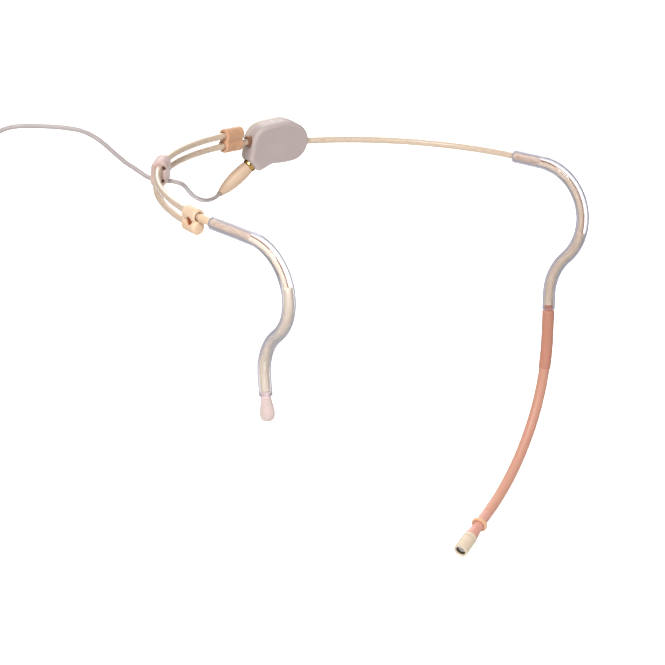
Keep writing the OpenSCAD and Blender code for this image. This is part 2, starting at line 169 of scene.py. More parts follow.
CAMERA_HEADING, CAMERA_DIP, CAMERA_AWAY = 50.84, 15.02, 1139
CAMERA_AIM = (-10.95, 13.32, -41.31)
CAMERA_LENS = 211.7
FLOOR_Z, FLOOR_SIZE, FLOOR_SHADE = -330, 9, 0.94
ROOM_LIGHT = 0.27


def make_camera():
    data = bpy.data.cameras.new("Camera")
    data.lens, data.sensor_width = CAMERA_LENS, 36
    data.clip_start, data.clip_end = 0.05, 30
    camera = bpy.data.objects.new("Camera", data)
    bpy.context.scene.collection.objects.link(camera)
    heading, dip = math.radians(CAMERA_HEADING), math.radians(CAMERA_DIP)
    along = Vector(
        (math.sin(heading) * math.cos(dip), math.cos(heading) * math.cos(dip), -math.sin(dip))
    )
    camera.location = (Vector(CAMERA_AIM) - along * CAMERA_AWAY) * MM
    camera.rotation_euler = along.to_track_quat("-Z", "Y").to_euler()
    bpy.context.scene.camera = camera


def area_light(name, place, aim, size, watts):
    data = bpy.data.lights.new(name, "AREA")
    data.shape, data.size, data.energy = "DISK", size, watts
    light = bpy.data.objects.new(name, data)
    bpy.context.scene.collection.objects.link(light)
    light.location = place
    light.rotation_euler = (Vector(aim) - Vector(place)).to_track_quat("-Z", "Y").to_euler()


def make_studio():
    scene = bpy.context.scene
    scene.view_settings.view_transform = "Standard"
    world = bpy.data.worlds.new("Studio")
    scene.world = world
    world.use_nodes = True
    sky = world.node_tree.nodes["Background"]
    sky.inputs["Color"].default_value = (1, 1, 1, 1)
    sky.inputs["Strength"].default_value = ROOM_LIGHT
    bpy.ops.mesh.primitive_plane_add(size=FLOOR_SIZE, location=(0, 0, FLOOR_Z * MM))
    floor = bpy.context.object
    floor.name = "Floor"
    pale = bpy.data.materials.new("Floor_paint")
    pale.use_nodes = True
    shader = pale.node_tree.nodes["Principled BSDF"]
    shader.inputs["Base Color"].default_value = (FLOOR_SHADE, FLOOR_SHADE, FLOOR_SHADE, 1)
    shader.inputs["Roughness"].default_value = 0.9
    floor.data.materials.append(pale)
    area_light("Key", (-0.75, -0.25, 0.85), (0, 0, -0.02), 0.45, 10.5)
    area_light("Fill", (-0.5, -1.1, 0.15), (0, 0, -0.05), 0.7, 2.2)
    area_light("Back", (0.7, 0.7, 0.6), (0, 0, -0.02), 0.6, 4)
    area_light("Floor_wash", (0.9, 0.7, 0.9), (1.6, 1.3, FLOOR_Z * MM), 1.2, 42)


# ---- meshes ----

def mesh_object(name, points, faces, lie):
    """A smooth-shaded object from points in millimetres.
    lie holds each point as if the piece lay straight."""
    mesh = bpy.data.meshes.new(name)
    mesh.from_pydata([Vector(p) * MM for p in points], [], faces)
    straight = mesh.attributes.new("lie", "FLOAT_VECTOR", "POINT")
    straight.data.foreach_set("vector", [v for point in lie for v in point])
    mesh.shade_smooth()
    made = bpy.data.objects.new(name, mesh)
    bpy.context.scene.collection.objects.link(made)
    return made


def skin(name, rings, capped=True):
    """Joins rings of points, each with the same number, into a surface, closed at both ends if capped."""
    n = len(rings[0])
    points = [p for ring in rings for p in ring]
    lie, run, middle = [], 0.0, None
    for ring in rings:
        centre = sum((Vector(p) for p in ring), Vector()) / n
        wide = sum((Vector(p) - centre).length for p in ring) / n
        if middle is not None:
            run += (centre - middle[0]).length + abs(wide - middle[1])
        middle = (centre, wide)
        lie += [
            (run, wide * math.cos(t), wide * math.sin(t))
            for t in (2 * math.pi * k / n for k in range(n))
        ]
    faces = [
        (a * n + k, a * n + (k + 1) % n, (a + 1) * n + (k + 1) % n, (a + 1) * n + k)
        for a in range(len(rings) - 1)
        for k in range(n)
    ]
    if capped:
        faces += [tuple(reversed(range(n))), tuple(range(len(points) - n, len(points)))]
    return mesh_object(name, points, faces, lie)


def ring_at(place, r, sides, phase=0.0):
    return [
        place @ Vector((0, r * math.cos(t), r * math.sin(t)))
        for t in (phase + 2 * math.pi * k / sides for k in range(sides))
    ]


def bar(name, places, r, sides=40, round_end=0.25):
    """A round bar through places, with ends rounded by that share of its radius.
    r is a number, or one for each place."""
    radii = r if isinstance(r, (list, tuple)) else [r] * len(places)
    rings = []
    for end, step in ((0, 1), (-1, -1)):
        soft = round_end * radii[end]
        caps = [
            ring_at(
                places[end] @ move(x=step * soft * (1 - math.sin(t))),
                radii[end] - soft * (1 - math.cos(t)), sides,
            )
            for t in spread(math.pi / 2, 0, 0.4)
        ]
        rings.append(caps if step > 0 else caps[::-1])
    inner = [ring_at(p, q, sides) for p, q in list(zip(places, radii))[1:-1]]
    return skin(name, rings[0] + inner + rings[1])


def softened(profile, soft, steps=4):
    """A polyline of (along, radius) points with each inner corner rounded."""
    out = [profile[0]]
    for before, at, after in zip(profile, profile[1:], profile[2:]):
        a, p, b = Vector(before), Vector(at), Vector(after)
        cut = min(soft, (a - p).length * 0.45, (b - p).length * 0.45)
        start, end = p + (a - p).normalized() * cut, p + (b - p).normalized() * cut
        for t in spread(0, 1, 1 / steps):
            out.append(tuple((1 - t) ** 2 * start + 2 * t * (1 - t) * p + t * t * end))
    return out + [profile[-1]]


def lathe(name, place, profile, soft=0.12, sides=64, closed=False):
    """Turns (along, radius) points round local X. closed joins the last point to the first, for a ring."""
    if closed:
        profile = softened([profile[-1]] + profile + [profile[0]], soft)[1:-1]
    else:
        profile = softened(profile, soft)
    rings = [ring_at(place @ move(x=x), max(r, 0.004), sides) for x, r in profile]
    if closed:
        return skin(name, rings + [rings[0]], capped=False)
    return skin(name, rings)


def join(name, pieces):
    """One object from several."""
    with bpy.context.temp_override(
        active_object=pieces[0], object=pieces[0], selected_editable_objects=pieces,
        selected_objects=pieces,
    ):
        bpy.ops.object.join()
    pieces[0].name = pieces[0].data.name = name
    return pieces[0]


def settle(piece):
    """Applies a piece's modifiers."""
    graph = bpy.context.evaluated_depsgraph_get()
    mesh = bpy.data.meshes.new_from_object(piece.evaluated_get(graph))
    piece.modifiers.clear()
    piece.data = mesh
    mesh.name = piece.name
    mesh.shade_smooth()
    return piece


def cut(piece, *cutters):
    """Takes the cutters out of a piece."""
    for cutter in cutters:
        tool = piece.modifiers.new("Cut", "BOOLEAN")
        tool.object, tool.operation, tool.solver = cutter, "DIFFERENCE", "EXACT"
    settle(piece)
    for cutter in cutters:
        bpy.data.objects.remove(cutter)
    return piece


def melt(piece, voxel, passes):
    """Fuses overlapping solids into one skin with soft corners, as a moulding has."""
    fuse = piece.modifiers.new("Fuse", "REMESH")
    fuse.mode, fuse.voxel_size = "VOXEL", voxel * MM
    ease = piece.modifiers.new("Ease", "SMOOTH")
    ease.factor, ease.iterations = 0.5, passes
    return settle(piece)


def crisp(piece, angle=35):
    """Smooth shading that stays sharp over edges steeper than that."""
    with bpy.context.temp_override(
        active_object=piece, object=piece, selected_objects=[piece],
        selected_editable_objects=[piece],
    ):
        bpy.ops.object.shade_smooth_by_angle(angle=math.radians(angle))
    return piece


# ---- materials ----

class Nodes:
    """Short names for building one material's nodes."""

    def __init__(self, name):
        self.material = bpy.data.materials.new(name)
        self.material.use_nodes = True
        self.tree = self.material.node_tree
        self.shader = self.tree.nodes["Principled BSDF"]
        self.where = self.tree.nodes.new("ShaderNodeTexCoord")

    def add(self, kind, **values):
        node = self.tree.nodes.new(kind)
        for key, value in values.items():
            if key in node.inputs:
                node.inputs[key].default_value = value
            else:
                setattr(node, key, value)
        return node

    def link(self, a, b):
        self.tree.links.new(a, b)

    def noise(self, grains, detail=3.0, stretch=None, lie=False):
        """Noise with that many grains a millimetre, stretched by (x, y, z) where given.
        lie measures it along and round the piece as if it lay straight."""
        if lie:
            spot = self.add("ShaderNodeAttribute", attribute_name="lie").outputs["Vector"]
        else:
            spot, grains = self.where.outputs["Object"], grains / MM
        if stretch:
            squeeze = self.add("ShaderNodeMapping")
            squeeze.inputs["Scale"].default_value = stretch
            self.link(spot, squeeze.inputs["Vector"])
            spot = squeeze.outputs["Vector"]
        node = self.add("ShaderNodeTexNoise", Scale=grains, Detail=detail, Roughness=0.55)
        self.link(spot, node.inputs["Vector"])
        return node.outputs["Fac"]

    def ramp(self, fac, stops):
        node = self.add("ShaderNodeValToRGB")
        while len(node.color_ramp.elements) < len(stops):
            node.color_ramp.elements.new(0.5)
        for element, (at, colour) in zip(node.color_ramp.elements, stops):
            element.position, element.color = at, (*colour, 1)
        self.link(fac, node.inputs["Fac"])
        return node.outputs["Color"]

    def range(self, fac, low, high):
        node = self.add("ShaderNodeMapRange")
        node.inputs["To Min"].default_value, node.inputs["To Max"].default_value = low, high
        self.link(fac, node.inputs["Value"])
        return node.outputs["Result"]

    def mix(self, fac, a, b):
        node = self.add("ShaderNodeMix", data_type="RGBA")
        self.link(fac, node.inputs["Factor"])
        for value, slot in ((a, "A"), (b, "B")):
            socket = [i for i in node.inputs if i.name == slot and i.type == "RGBA"][0]
            if isinstance(value, tuple):
                socket.default_value = (*value, 1)
            else:
                self.link(value, socket)
        return [o for o in node.outputs if o.type == "RGBA"][0]

    def bump(self, height, strength, distance):
        node = self.add("ShaderNodeBump", Strength=strength, Distance=distance)
        self.link(height, node.inputs["Height"])
        return node.outputs["Normal"]


def linear(r, g, b):
    """A colour as it is named on a screen, 0 to 255, as the shader's own light values."""
    return tuple(
        v / 12.92 if v <= 0.04045 else ((v + 0.055) / 1.055) ** 2.4
        for v in (r / 255, g / 255, b / 255)
    )


def toned(colour, share):
    return tuple(min(1.0, v * share) for v in colour)


# The last colour is the painted grey shade at a clear tube's edges.
TUBE_IOR, TUBE_EDGE_SHADE = 1.38, linear(172, 170, 184)


def moulded(name, colour, rough=0.5, grain=2.6, relief=0.15, depth=0.00003, tint=None, edge_pale=1.12,
            specular=0.4, cloud=0.26):
    """Moulded plastic or rubber: cloudy colour, a fine grain in relief and sharp edges made paler by a set
    share.
    """
    n = Nodes(name)
    tint = tint or toned(colour, 0.86)
    cloudy = n.ramp(n.noise(cloud, 4), [(0.3, tint), (0.7, colour)])
    fine = n.noise(grain, 2)
    speckled = n.mix(n.range(fine, 0.0, 0.35), cloudy, toned(colour, 0.8))
    # Sharp edges, found by pointiness, are made paler by the given share.
    edges = n.add("ShaderNodeNewGeometry").outputs["Pointiness"]
    sharp_edges = n.ramp(edges, [(0.5, (0, 0, 0)), (0.58, (1, 1, 1))])
    edge_paled = n.mix(sharp_edges, speckled, toned(colour, edge_pale))
    n.link(edge_paled, n.shader.inputs["Base Color"])
    n.link(n.range(n.noise(cloud * 2.2, 3), rough - 0.07, rough + 0.1), n.shader.inputs["Roughness"])
    n.link(n.bump(fine, relief, depth), n.shader.inputs["Normal"])
    n.shader.inputs["Specular IOR Level"].default_value = specular
    return n.material


def coated_rod(name, colour, tint, rough=0.36):
    """A wire with a thin skin-coloured coating: lengthways streaks, small scuffed spots, a soft gloss."""
    n = Nodes(name)
    streaks = n.noise(5, 4, stretch=(0.1, 1, 1), lie=True)
    base = n.ramp(streaks, [(0.32, tint), (0.62, colour)])
    spots = n.ramp(n.noise(1.5, 2), [(0.62, (0, 0, 0)), (0.7, (1, 1, 1))])
    n.link(n.mix(spots, base, toned(tint, 0.85)), n.shader.inputs["Base Color"])
    n.link(n.range(streaks, rough - 0.08, rough + 0.12), n.shader.inputs["Roughness"])
    n.link(n.bump(streaks, 0.18, 0.00003), n.shader.inputs["Normal"])
    n.shader.inputs["Coat Weight"].default_value = 0.25
    n.shader.inputs["Coat Roughness"].default_value = 0.2
    return n.material


def metal(name, colour, rough=0.25, tint=None):
    """Turned metal: rings of tool marks, a few darker stains and small differences in gloss."""
    n = Nodes(name)
    stain = n.ramp(n.noise(0.7, 4), [(0.35, tint or toned(colour, 0.75)), (0.65, colour)])
    n.link(stain, n.shader.inputs["Base Color"])
    n.shader.inputs["Metallic"].default_value = 1.0
    marks = n.noise(4, 3, stretch=(3, 0.05, 0.05), lie=True)
    n.link(n.range(marks, rough - 0.08, rough + 0.15), n.shader.inputs["Roughness"])
    n.link(n.bump(marks, 0.2, 0.00002), n.shader.inputs["Normal"])
    return n.material


def tube_bore(name, tint):
    """The inner wall of a clear tube. It sits on the wire, so light passes straight."""
    n = Nodes(name)
    see = n.add("ShaderNodeBsdfTransparent")
    n.link(n.ramp(n.noise(0.5, 2), [(0.0, tint), (1.0, (1, 1, 1))]), see.inputs["Color"])
    n.link(see.outputs["BSDF"], n.tree.nodes["Material Output"].inputs["Surface"])
    return n.material


def tube_wall(name, tint, edge_from, edge_to):
    """The outer wall of a clear soft tube, which bends light. Towards the edges it is seen at, from one
    slope to
    another, it turns greyer and less clear: painted shade for what refraction shows at a real tube's
    edges.
    Lamps shine through it."""
    n = Nodes(name)
    see = n.add("ShaderNodeBsdfTransparent")
    see.inputs["Color"].default_value = (*toned(tint, 0.99), 1)
    s = n.shader
    edge = n.add("ShaderNodeLayerWeight", Blend=0.5).outputs["Facing"]
    haze = n.ramp(n.noise(0.42, 3), [(0.3, toned(tint, 0.965)), (0.75, tint)])
    # Painted shade: greyer and less clear towards the edges it is seen at.
    rim = n.ramp(edge, [(edge_from, (0, 0, 0)), (edge_to, (1, 1, 1))])
    n.link(n.mix(rim, haze, TUBE_EDGE_SHADE), s.inputs["Base Color"])
    n.link(n.ramp(edge, [(edge_from + 0.02, (1, 1, 1)), (edge_to + 0.04, (0.1, 0.1, 0.1))]),
           s.inputs["Transmission Weight"])
    n.link(n.range(n.noise(0.9, 3), 0.02, 0.12), s.inputs["Roughness"])
    s.inputs["IOR"].default_value = TUBE_IOR
    scratches = n.noise(4, 4, stretch=(0.15, 1, 1), lie=True)
    n.link(n.bump(scratches, 0.05, 0.00002), s.inputs["Normal"])
    mixed = n.add("ShaderNodeMixShader")
    n.link(n.add("ShaderNodeLightPath").outputs["Is Shadow Ray"], mixed.inputs["Fac"])
    n.link(s.outputs["BSDF"], mixed.inputs[1])
    n.link(see.outputs["BSDF"], mixed.inputs[2])
    n.link(mixed.outputs["Shader"], n.tree.nodes["Material Output"].inputs["Surface"])
    return n.material


def soft_rubber(name, colour, tint, rough=0.5, scatter=0.35, radius=0.0012):
    """Translucent soft rubber: light spreads inside it, with dull patches and a fine bloom."""
    n = Nodes(name)
    cloudy = n.ramp(n.noise(0.33, 4), [(0.3, tint), (0.7, colour)])
    n.link(cloudy, n.shader.inputs["Base Color"])
    n.link(n.range(n.noise(0.8, 3), rough - 0.1, rough + 0.1), n.shader.inputs["Roughness"])
    fine = n.noise(2.4, 2)
    n.link(n.bump(fine, 0.12, 0.00003), n.shader.inputs["Normal"])
    n.shader.inputs["Subsurface Weight"].default_value = scatter
    n.shader.inputs["Subsurface Radius"].default_value = (1.0, 0.6, 0.45)
    n.shader.inputs["Subsurface Scale"].default_value = radius
    n.shader.inputs["Sheen Weight"].default_value = 0.1
    return n.material


def finish_piece(piece, body, slot, material, *nodes):
    """Dresses a piece, sets it on its body and hides the CAD nodes it stands for."""
    piece.data.materials.clear()
    piece.data.materials.append(material)
    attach(piece, body)
    if nodes:
        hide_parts(*nodes)
    return piece


# ---- the cord: the lead from the clip to its jack, the spare length coiled ----

def smooth(points, step):
    """Points no further apart than step on a smooth curve through the given ones."""
    knots = [Vector(p) for p in points]
    knots = [2 * knots[0] - knots[1]] + knots + [2 * knots[-1] - knots[-2]]
    out = []
    for a, b, c, d in zip(knots, knots[1:], knots[2:], knots[3:]):
        for t in spread(0, 1, min(1.0, step / (c - b).length))[:-1]:
            out.append(
                0.5 * (2 * b + (c - a) * t + (2 * a - 5 * b + 4 * c - d) * t * t
                       + (3 * b - a - 3 * c + d) * t ** 3)
            )
    return out + [knots[-2]]


def places_along(points):
    """A place at each point with local X along the path, turning no more than the path does."""
    out, up = [], None
    for i, p in enumerate(points):
        x = (points[min(i + 1, len(points) - 1)] - points[max(i - 1, 0)]).normalized()
        if up is None:
            up = x.orthogonal().normalized()
        up = (up - up.dot(x) * x).normalized()
        side = x.cross(up)
        out.append(Matrix((
            (x.x, up.x, side.x, p.x), (x.y, up.y, side.y, p.y), (x.z, up.z, side.z, p.z), (0, 0, 0, 1),
        )))
    return out


def coil_seats(d):
    """Where each turn lies in the bundle, as (outwards, sideways), so that turns touch side by side."""
    seats = []
    for row, count in enumerate((3, 4, 5, 4, 1)):
        line = [(k - (count - 1) / 2) * d for k in range(count)] if count > 1 else [d]
        if row % 2 == 0:
            line.reverse()
        seats += [(a, (row - 2) * d * math.cos(math.radians(30))) for a in line]
    return seats


def coil_points():
    """The turns, clockwise from the side where the lead comes down, each easing into the next seat."""
    seats = coil_seats(2 * LEAD_R)
    per_turn = 36
    out = []
    for k, (a, b) in enumerate(seats):
        after = seats[min(k + 1, len(seats) - 1)]
        for i in range(per_turn):
            share = min(1.0, max(0.0, (i / per_turn - 0.7) / 0.3))
            ease = share * share * (3 - 2 * share)
            r = COIL_R + a + (after[0] - a) * ease
            t = 2 * math.pi * i / per_turn
            out.append(COIL @ Vector((r * math.cos(t), -r * math.sin(t), b + (after[1] - b) * ease)))
    a, b = seats[-1]
    out += [COIL @ Vector((COIL_R + a, y, b)) for y in (0, -2.5, -5, -7.4, -10, -13)]
    return out


cord_path = smooth(RUN_ROUTE, 1.2) + coil_points()
lead_grey = moulded("Lead_skin", linear(190, 179, 177), 0.42, grain=3.5, relief=0.1,
                    tint=linear(170, 160, 158), specular=0.45, cloud=0.5)
black = moulded("Connector_black", (0.022, 0.022, 0.024), 0.42, grain=5, relief=0.25,
                tint=(0.014, 0.014, 0.015), edge_pale=1.6)
cord = skin("Lead_Cord", [ring_at(p, LEAD_R, 12) for p in places_along(cord_path)])
finish_piece(cord, "mic_side", "lead", lead_grey, "cable_run", "cable_coil")

gold = metal("Gold_plate", linear(214, 178, 104), 0.22, tint=linear(196, 156, 84))


def fluted(name, place, stations, count, depth, sides=144):
    """A turned piece whose (along, radius, share) stations carry that share of count grip flutes."""
    rings = []
    for x, r, share in stations:
        rings.append([
            place @ Vector((x, q * math.cos(t), q * math.sin(t)))
            for t, q in (
                (t, r - depth * share * (0.5 - 0.5 * math.cos(count * t)) ** 2)
                for t in (2 * math.pi * k / sides for k in range(sides))
            )
        ])
    return skin(name, rings)


def make_connector():
    ribs = [(0, 0.72), (0, 1.05)]
    for k in range(6):
        x, r = 0.5 + k * 1.25, 1.12 + k * 0.13
        ribs += [(x, r), (x + 0.75, r + 0.07), (x + 0.8, r - 0.17), (x + 1.2, r - 0.13)]
    ribs += [(8, 1.9), (8, 1.4)]
    relief = finish_piece(
        lathe("Connector_Relief", CONNECTOR, ribs, 0.08), "mic_side", "black_plastic", black,
        "connector_relief",
    )
    shell = lathe("Connector_Shell", CONNECTOR, [
        (8, 0.5), (8, 2.6), (8.5, 3.1), (11, 3.1), (11.2, 2.95), (11.6, 2.95), (11.8, 3.1),
        (15.9, 3.1), (16.1, 2.95), (16.4, 2.95), (16.6, 3.1), (17, 3.1), (17, 2.3), (23.4, 2.3),
        (23.4, 1.45), (20, 1.45), (20, 0.5),
    ], 0.1, 96)
    finish_piece(shell, "mic_side", "black_plastic", black, "connector_shell")
    nut = fluted("Connector_Nut", CONNECTOR, [
        (17.4, 2.4, 0), (17.3, 2.5, 0), (17.3, 3.35, 0), (17.5, 3.6, 0), (18.2, 3.65, 0),
        (18.6, 3.95, 1), (21, 3.98, 1), (23.8, 3.95, 1), (24.2, 3.65, 0), (24.8, 3.6, 0),
        (25, 3.4, 0), (25, 2.95, 0), (23.2, 2.9, 0), (23.1, 2.4, 0), (20, 2.38, 0), (17.4, 2.4, 0),
    ], 36, 0.3)
    finish_piece(nut, "nut", "black_plastic", black, "connector_nut")
    sleeve = lathe("Jack_Sleeve", CONNECTOR, [
        (18.1, 0.2), (18.1, 1.38), (25.1, 1.38), (25.2, 1.6), (25.4, 1.75), (32.3, 1.75), (32.4, 1.65),
        (32.4, 0.2),
    ], 0.08)
    finish_piece(sleeve, "mic_side", "gold", gold, "jack_sleeve")
    bands = join("Jack_Insulators", [
        lathe("band", CONNECTOR, [(x, 0.2), (x, 1.5), (x + 0.6, 1.5), (x + 0.6, 0.2)], 0.04)
        for x in (32.4, 34.8)
    ])
    finish_piece(bands, "mic_side", "black_plastic", black, "jack_insulators")
    tip = join("Jack_Tip", [
        lathe("ring", CONNECTOR, [(33, 0.2), (33, 1.75), (34.8, 1.75), (34.8, 0.2)], 0.08),
        lathe("point", CONNECTOR, [
            (35.4, 0.2), (35.4, 1.75), (36, 1.75), (36.6, 1.35), (36.9, 1.22), (37.4, 1.3), (38.1, 0.85),
            (38.4, 0.45), (38.4, 0.1),
        ], 0.25),
    ])
    finish_piece(tip, "mic_side", "gold", gold, "jack_tip")
    around = COIL @ turn(z=60) @ move(y=COIL_R)
    wrap = lathe("wrap", around, [
        (-1.5, 3.62), (-1.5, 3.95), (-1.3, 4.05), (1.3, 4.05), (1.5, 3.95), (1.5, 3.62),
    ], 0.08, 72, closed=True)
    tab = skin("tab", [
        [around @ Vector((x, q * math.cos(t), q * math.sin(t)))
         for x, q in ((-1.3, r), (1.3, r), (1.3, r + 0.3), (-1.3, r + 0.3))]
        for t, r in ((0.4 + 0.12 * k, 4.02 + (0.02 * (k - 5) if k > 5 else 0)) for k in range(10))
    ])
    cloth = moulded("Tie_cloth", (0.03, 0.03, 0.032), 0.85, grain=7, relief=0.6, depth=0.00006)
    finish_piece(join("Coil_Tie", [wrap, tab]), "mic_side", "black_plastic", cloth, "cable_tie")
    return [relief, shell, nut, sleeve, bands, tip]


make_camera()
make_studio()
cord_ends = make_connector()


# ---- neckband ----

rod_paint = coated_rod("Rod_coating", linear(232, 208, 184), linear(208, 184, 160))
slider_peach = moulded("Slider_peach", linear(226, 176, 140), 0.42, tint=linear(206, 152, 116),
                       edge_pale=1.15)
slider_cream = moulded("Slider_cream", linear(252, 222, 190), 0.45, tint=linear(246, 206, 168),
                       edge_pale=1.05)
# The screw's dark brown is painted shade of the hole it sits in.
screw_hole_shade_brown = moulded("Screw_hole_shade", linear(176, 92, 44), 0.4, tint=linear(146, 70, 30), edge_pale=1.2)
shell_taupe = moulded("Shell_taupe", linear(196, 181, 178), 0.5, grain=3.2, relief=0.12,
                      tint=linear(188, 173, 169), edge_pale=1.22, cloud=0.12)
shell_pale = moulded("Shell_pale", linear(206, 192, 180), 0.48, grain=3.2, relief=0.12,
                     tint=linear(194, 178, 166), edge_pale=1.16, cloud=0.12)
# Dark brown for the rod collar: painted shade of the recess where the rod enters the housing.
collar_recess_shade = moulded("Collar_recess_shade", linear(146, 104, 78), 0.5, tint=linear(112, 76, 56))


def arc_places(a, b, h, step=1.2):
    return [at_arc(t, h) for t in spread(a, b, step)]


def hook_rod(hook):
    """The straight end of a band rod inside its hook, tapered to the spring wire."""
    steps = [(s, ROD_R) for s in spread(0.5, hook.run - 1.5, 1.5)]
    steps += [(hook.run - 0.9, 0.8), (hook.run - 0.3, 0.55), (hook.run, 0.4)]
    return [hook.start @ move(x=s) for s, _ in steps], [r for _, r in steps]


def make_rods():
    lower = bar("Band_Rod_Lower", arc_places(-75, 18, LO_Z), ROD_R, round_end=0.2)
    finish_piece(lower, "mic_side", "rod", rod_paint, "lower_band_rod")
    places, radii = hook_rod(MIC_HOOK)
    level = turn(x=BAND_TILT) @ turn(z=-ARC_END) @ move(z=LO_Z)
    dip = level @ turn(y=-ROD_DIP) @ level.inverted()
    arc = [dip @ p for p in arc_places(22, ARC_END, LO_Z)]
    mic = bar("Band_Rod_Mic_Side", arc + places, [ROD_R] * len(arc) + radii, round_end=0.2)
    finish_piece(mic, "mic_side", "rod", rod_paint, "mic_side_rod")
    places, radii = hook_rod(FREE_HOOK)
    arc = arc_places(7.2, -FREE_ARC_END, UP_Z)
    free = bar("Band_Rod_Upper", [p @ turn(z=180) for p in arc] + places,
               [ROD_R] * len(arc) + radii, round_end=0.2)
    finish_piece(free, "free_side", "rod", rod_paint, "upper_band_rod")
    ferrule = lathe_arc("Free_Ferrule", -80.9, -76.4, UP_Z, 1.2, 1.02)
    finish_piece(ferrule, "free_side", "rod", slider_cream, "free_ferrule")


def lathe_arc(name, a, b, h, outer, inner, sides=48):
    """A sleeve that follows the band, with a small round on its outer ends."""
    arc = spread(a, b, 1.0)
    turnings = [(a, inner), (a, outer - 0.15), (a + 0.13, outer)] + [(t, outer) for t in arc[1:-1]]
    turnings += [(b - 0.13, outer), (b, outer - 0.15), (b, inner)]
    return skin(name, [ring_at(at_arc(t, h), r, sides) for t, r in turnings])


LOBE_R, SLIDE_BORE, GRIP_BORE = 2.15, 1.06, 1.03


def make_sliders():
    lobes = [bar("lobe", arc_places(3.2, 9.3, h, 0.5), LOBE_R, 48, 0.3) for h in (UP_Z, LO_Z)]
    lobes.append(bar("web", arc_places(3.6, 8.9, MID_Z, 0.5), 1.75, 32, 0.3))
    mic = melt(join("Slider_Mic", lobes), 0.13, 4)
    cut(mic, *[bar("hole", arc_places(a, b, h, 0.6), r, 32, 0) for a, b, h, r in (
        (2, 7.4, UP_Z, GRIP_BORE), (2, 11, LO_Z, SLIDE_BORE),
        (2, 3.8, UP_Z, 1.35), (2, 3.8, LO_Z, 1.35), (8.9, 11, LO_Z, 1.25),
    )])
    finish_piece(crisp(mic), "free_side", "mic_slider", slider_peach, "mic_slider_block")
    lobes = [
        bar("lobe", arc_places(-75.8, -70.6, UP_Z, 0.5), LOBE_R, 48, 0.3),
        bar("lobe", arc_places(-76.3, -70.6, LO_Z, 0.5), LOBE_R, 48, 0.5),
        bar("web", arc_places(-75.4, -71, MID_Z, 0.5), 1.5, 32, 0.3),
    ]
    free = melt(join("Slider_Free", lobes), 0.13, 4)
    screw_at = at_arc(-73.9, MID_Z) @ turn(z=90)
    holes = [bar("hole", arc_places(a, b, h, 0.6), r, 32, 0) for a, b, h, r in (
        (-79, -68, UP_Z, SLIDE_BORE), (-75.2, -68, LO_Z, GRIP_BORE), (-79, -75, UP_Z, 1.4),
        (-71.1, -68, UP_Z, 1.25), (-71.1, -68, LO_Z, 1.25),
    )]
    for low, r in ((1.15, 1.35), (-0.6, 0.5)):
        holes.append(bar("hole", [screw_at @ move(x=x) for x in (low, 2, 5)], r, 48, 0))
    cut(free, *holes)
    finish_piece(crisp(free), "mic_side", "free_slider", slider_cream, "free_slider_block")
    screw = lathe("Slider_Screw", screw_at, [
        (-0.5, 0.1), (-0.5, 0.45), (1.16, 0.45), (1.16, 1.2), (1.3, 1.28), (1.4, 1.24), (1.46, 1.0),
        (1.48, 0.1),
    ], 0.05, 48)
    cut(screw, skin("slot", [
        [screw_at @ Vector((x, y, z)) for y, z in ((-0.17, -0.9), (0.17, -0.9), (0.17, 0.9), (-0.17, 0.9))]
        for x in (1.26, 2)
    ]))
    finish_piece(crisp(screw), "mic_side", "screw", screw_hole_shade_brown, "slider_screw")


# ---- ear hooks ----

SLEEVE_BORE, SLEEVE_LIP = 1.06, 0.16
CORE_R, CORE_SHORT = 1.0, 1.3
HOOK_LEAD_R, HOOK_LEAD_Z, HOOK_WIRE_R, HOOK_WIRE_Z = 0.6, -0.4, 0.16, 0.34

# One clear tube in two copies: the mic hook's is tinted greyer, painted shade, and the free hook's paler,
# painted light, each with its own slopes for the painted edge shade.
tube_mic_shaded = tube_wall("Clear_tube_mic", linear(226, 224, 230), 0.14, 0.36)
tube_free_lit = tube_wall("Clear_tube_free", linear(240, 238, 243), 0.27, 0.5)
tube_inner = tube_bore("Clear_tube_bore", (0.97, 0.96, 0.97))
# The spring wire's brown is partly its own colour and partly painted shade of the gap beside the lead in
# the tube.
wire_and_gap_shade_brown = coated_rod("Spring_wire", linear(190, 158, 138), linear(150, 118, 100), 0.4)
# One hook core in two copies: the free hook's is paler, painted light, and the mic hook's darker, painted
# shade.
core_mic_shaded = moulded("Core_mic_shaded", linear(238, 219, 192), 0.5, tint=linear(224, 204, 178), cloud=0.4)
core_free_lit = moulded("Core_free_lit", linear(250, 235, 212), 0.5, tint=linear(238, 221, 198), cloud=0.4)
tip_pale = soft_rubber("Tip_rubber", linear(240, 220, 214), linear(228, 205, 198), 0.45)


def clear_sleeve(name, hook, start, clear):
    """A hollow sleeve from start to the hook's end, its bore in a material of its own."""
    sides, lip = 48, SLEEVE_LIP
    stations = spread(start, hook.length, 0.9)
    turnings = [(start, SLEEVE_R - lip), (start + lip * 0.6, SLEEVE_R)]
    turnings += [(s, SLEEVE_R) for s in stations[1:-1]]
    turnings += [(hook.length - lip * 0.6, SLEEVE_R), (hook.length, SLEEVE_R - lip)]
    outer = [ring_at(hook.at(s), r, sides) for s, r in turnings]
    rings = outer + [ring_at(hook.at(s), SLEEVE_BORE, sides) for s in reversed(stations)]
    sleeve = skin(name, rings + [rings[0]], capped=False)
    sleeve.data.materials.append(clear)
    sleeve.data.materials.append(tube_inner)
    first_inner = len(outer) * sides
    for face in sleeve.data.polygons:
        if min(face.vertices) >= first_inner and max(face.vertices) < len(rings) * sides:
            face.material_index = 1
    return sleeve


